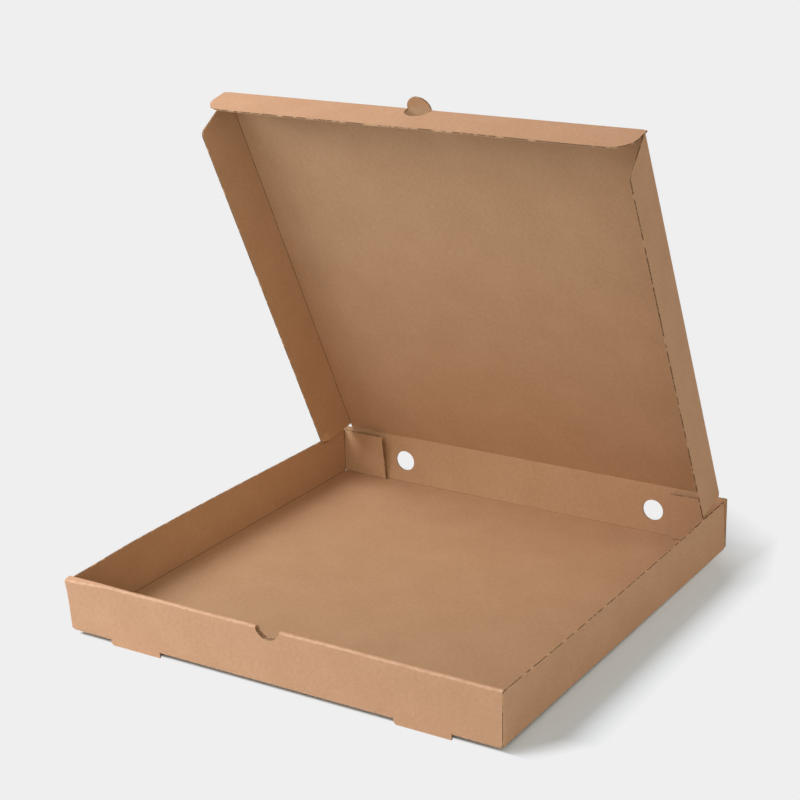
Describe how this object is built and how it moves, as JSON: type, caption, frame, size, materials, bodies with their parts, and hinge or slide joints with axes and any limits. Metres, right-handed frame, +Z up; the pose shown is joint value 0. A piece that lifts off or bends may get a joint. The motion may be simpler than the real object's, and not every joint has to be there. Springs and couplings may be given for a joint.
{
  "type": "paella box",
  "caption": "Shallow square box of corrugated kraft board with a hinged lid, tuck-in flaps, thumb tab, feet and steam vents, standing open.",
  "frame": {"origin": "middle of the box at the height of the feet's lower edges", "axes": "+Z up, +Y from the front wall to the back wall that carries the lid, +X to the right seen from the front"},
  "size_m": [0.46, 0.4713, 0.4793],
  "materials": {
    "kraft_board": "matte"
  },
  "bodies": {
    "tray": {"tray": "kraft_board"},
    "lid": {"lid": "kraft_board"},
    "front_flap": {"front_flap": "kraft_board"}
  },
  "joints": [
    {"name": "lid_hinge", "type": "hinge", "parent": "tray", "child": "lid", "pos_m": [0, 0.235, 0.0588], "axis": [-1, 0, 0], "range_deg": [-64, 116]},
    {"name": "front_flap_crease", "type": "hinge", "parent": "lid", "child": "front_flap", "pos_m": [0, 0.03685, 0.46507], "axis": [1, 0, 0], "range_deg": [-76.5, 18.5]}
  ]
}
